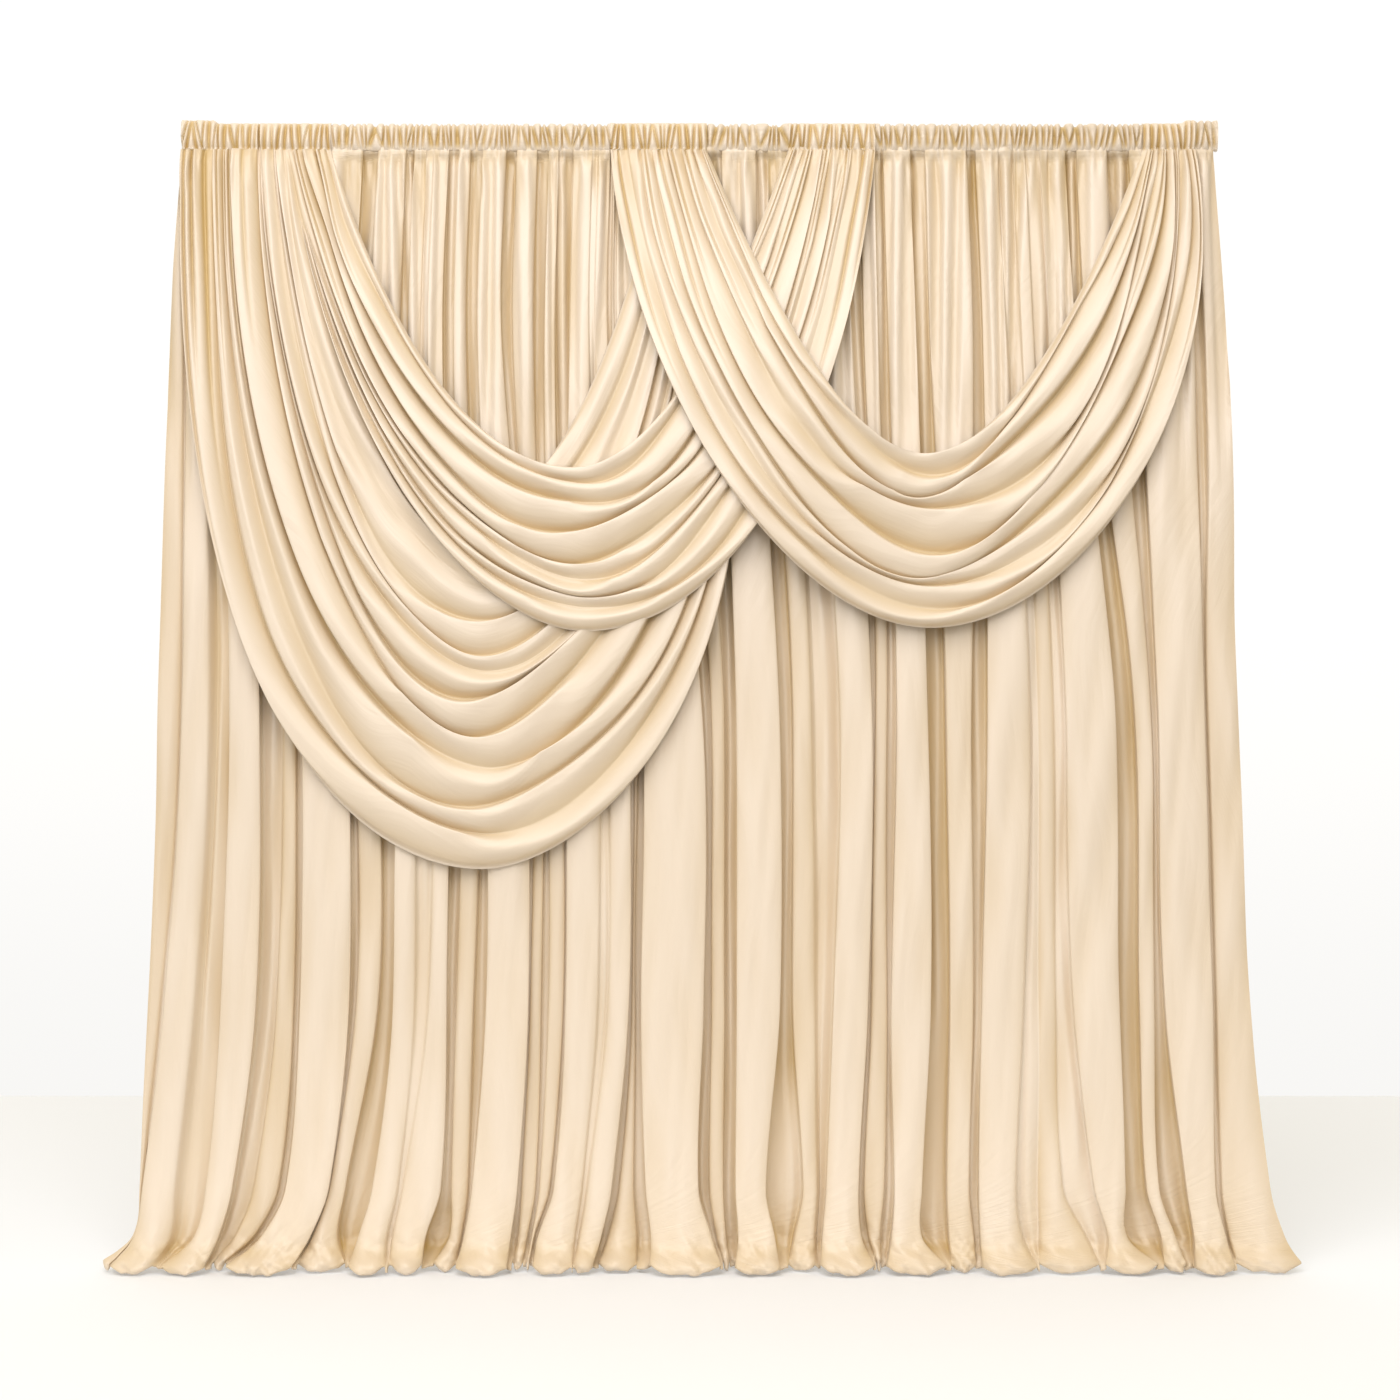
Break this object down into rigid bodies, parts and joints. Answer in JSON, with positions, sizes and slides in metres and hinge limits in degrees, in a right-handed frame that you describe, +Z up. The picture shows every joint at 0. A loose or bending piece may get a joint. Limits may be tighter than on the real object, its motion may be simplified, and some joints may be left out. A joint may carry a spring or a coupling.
{
  "type": "draped backdrop curtain",
  "caption": "Cream floor-length backdrop curtain gathered on a ruched rod-pocket heading, with overlapping swags draped across its front.",
  "frame": {"origin": "middle of the rod pocket's axis, along the top of the backdrop", "axes": "+X along the rod towards the front swag's end (the viewer's right), +Y to the back, +Z up"},
  "size_m": [3.1242, 0.1974, 2.9973],
  "materials": {
    "cream_cloth": "matte"
  },
  "bodies": {
    "root": {"heading": "cream_cloth", "curtain": "cream_cloth", "swag_a": "cream_cloth", "swag_b": "cream_cloth", "swag_c": "cream_cloth"}
  },
  "joints": []
}
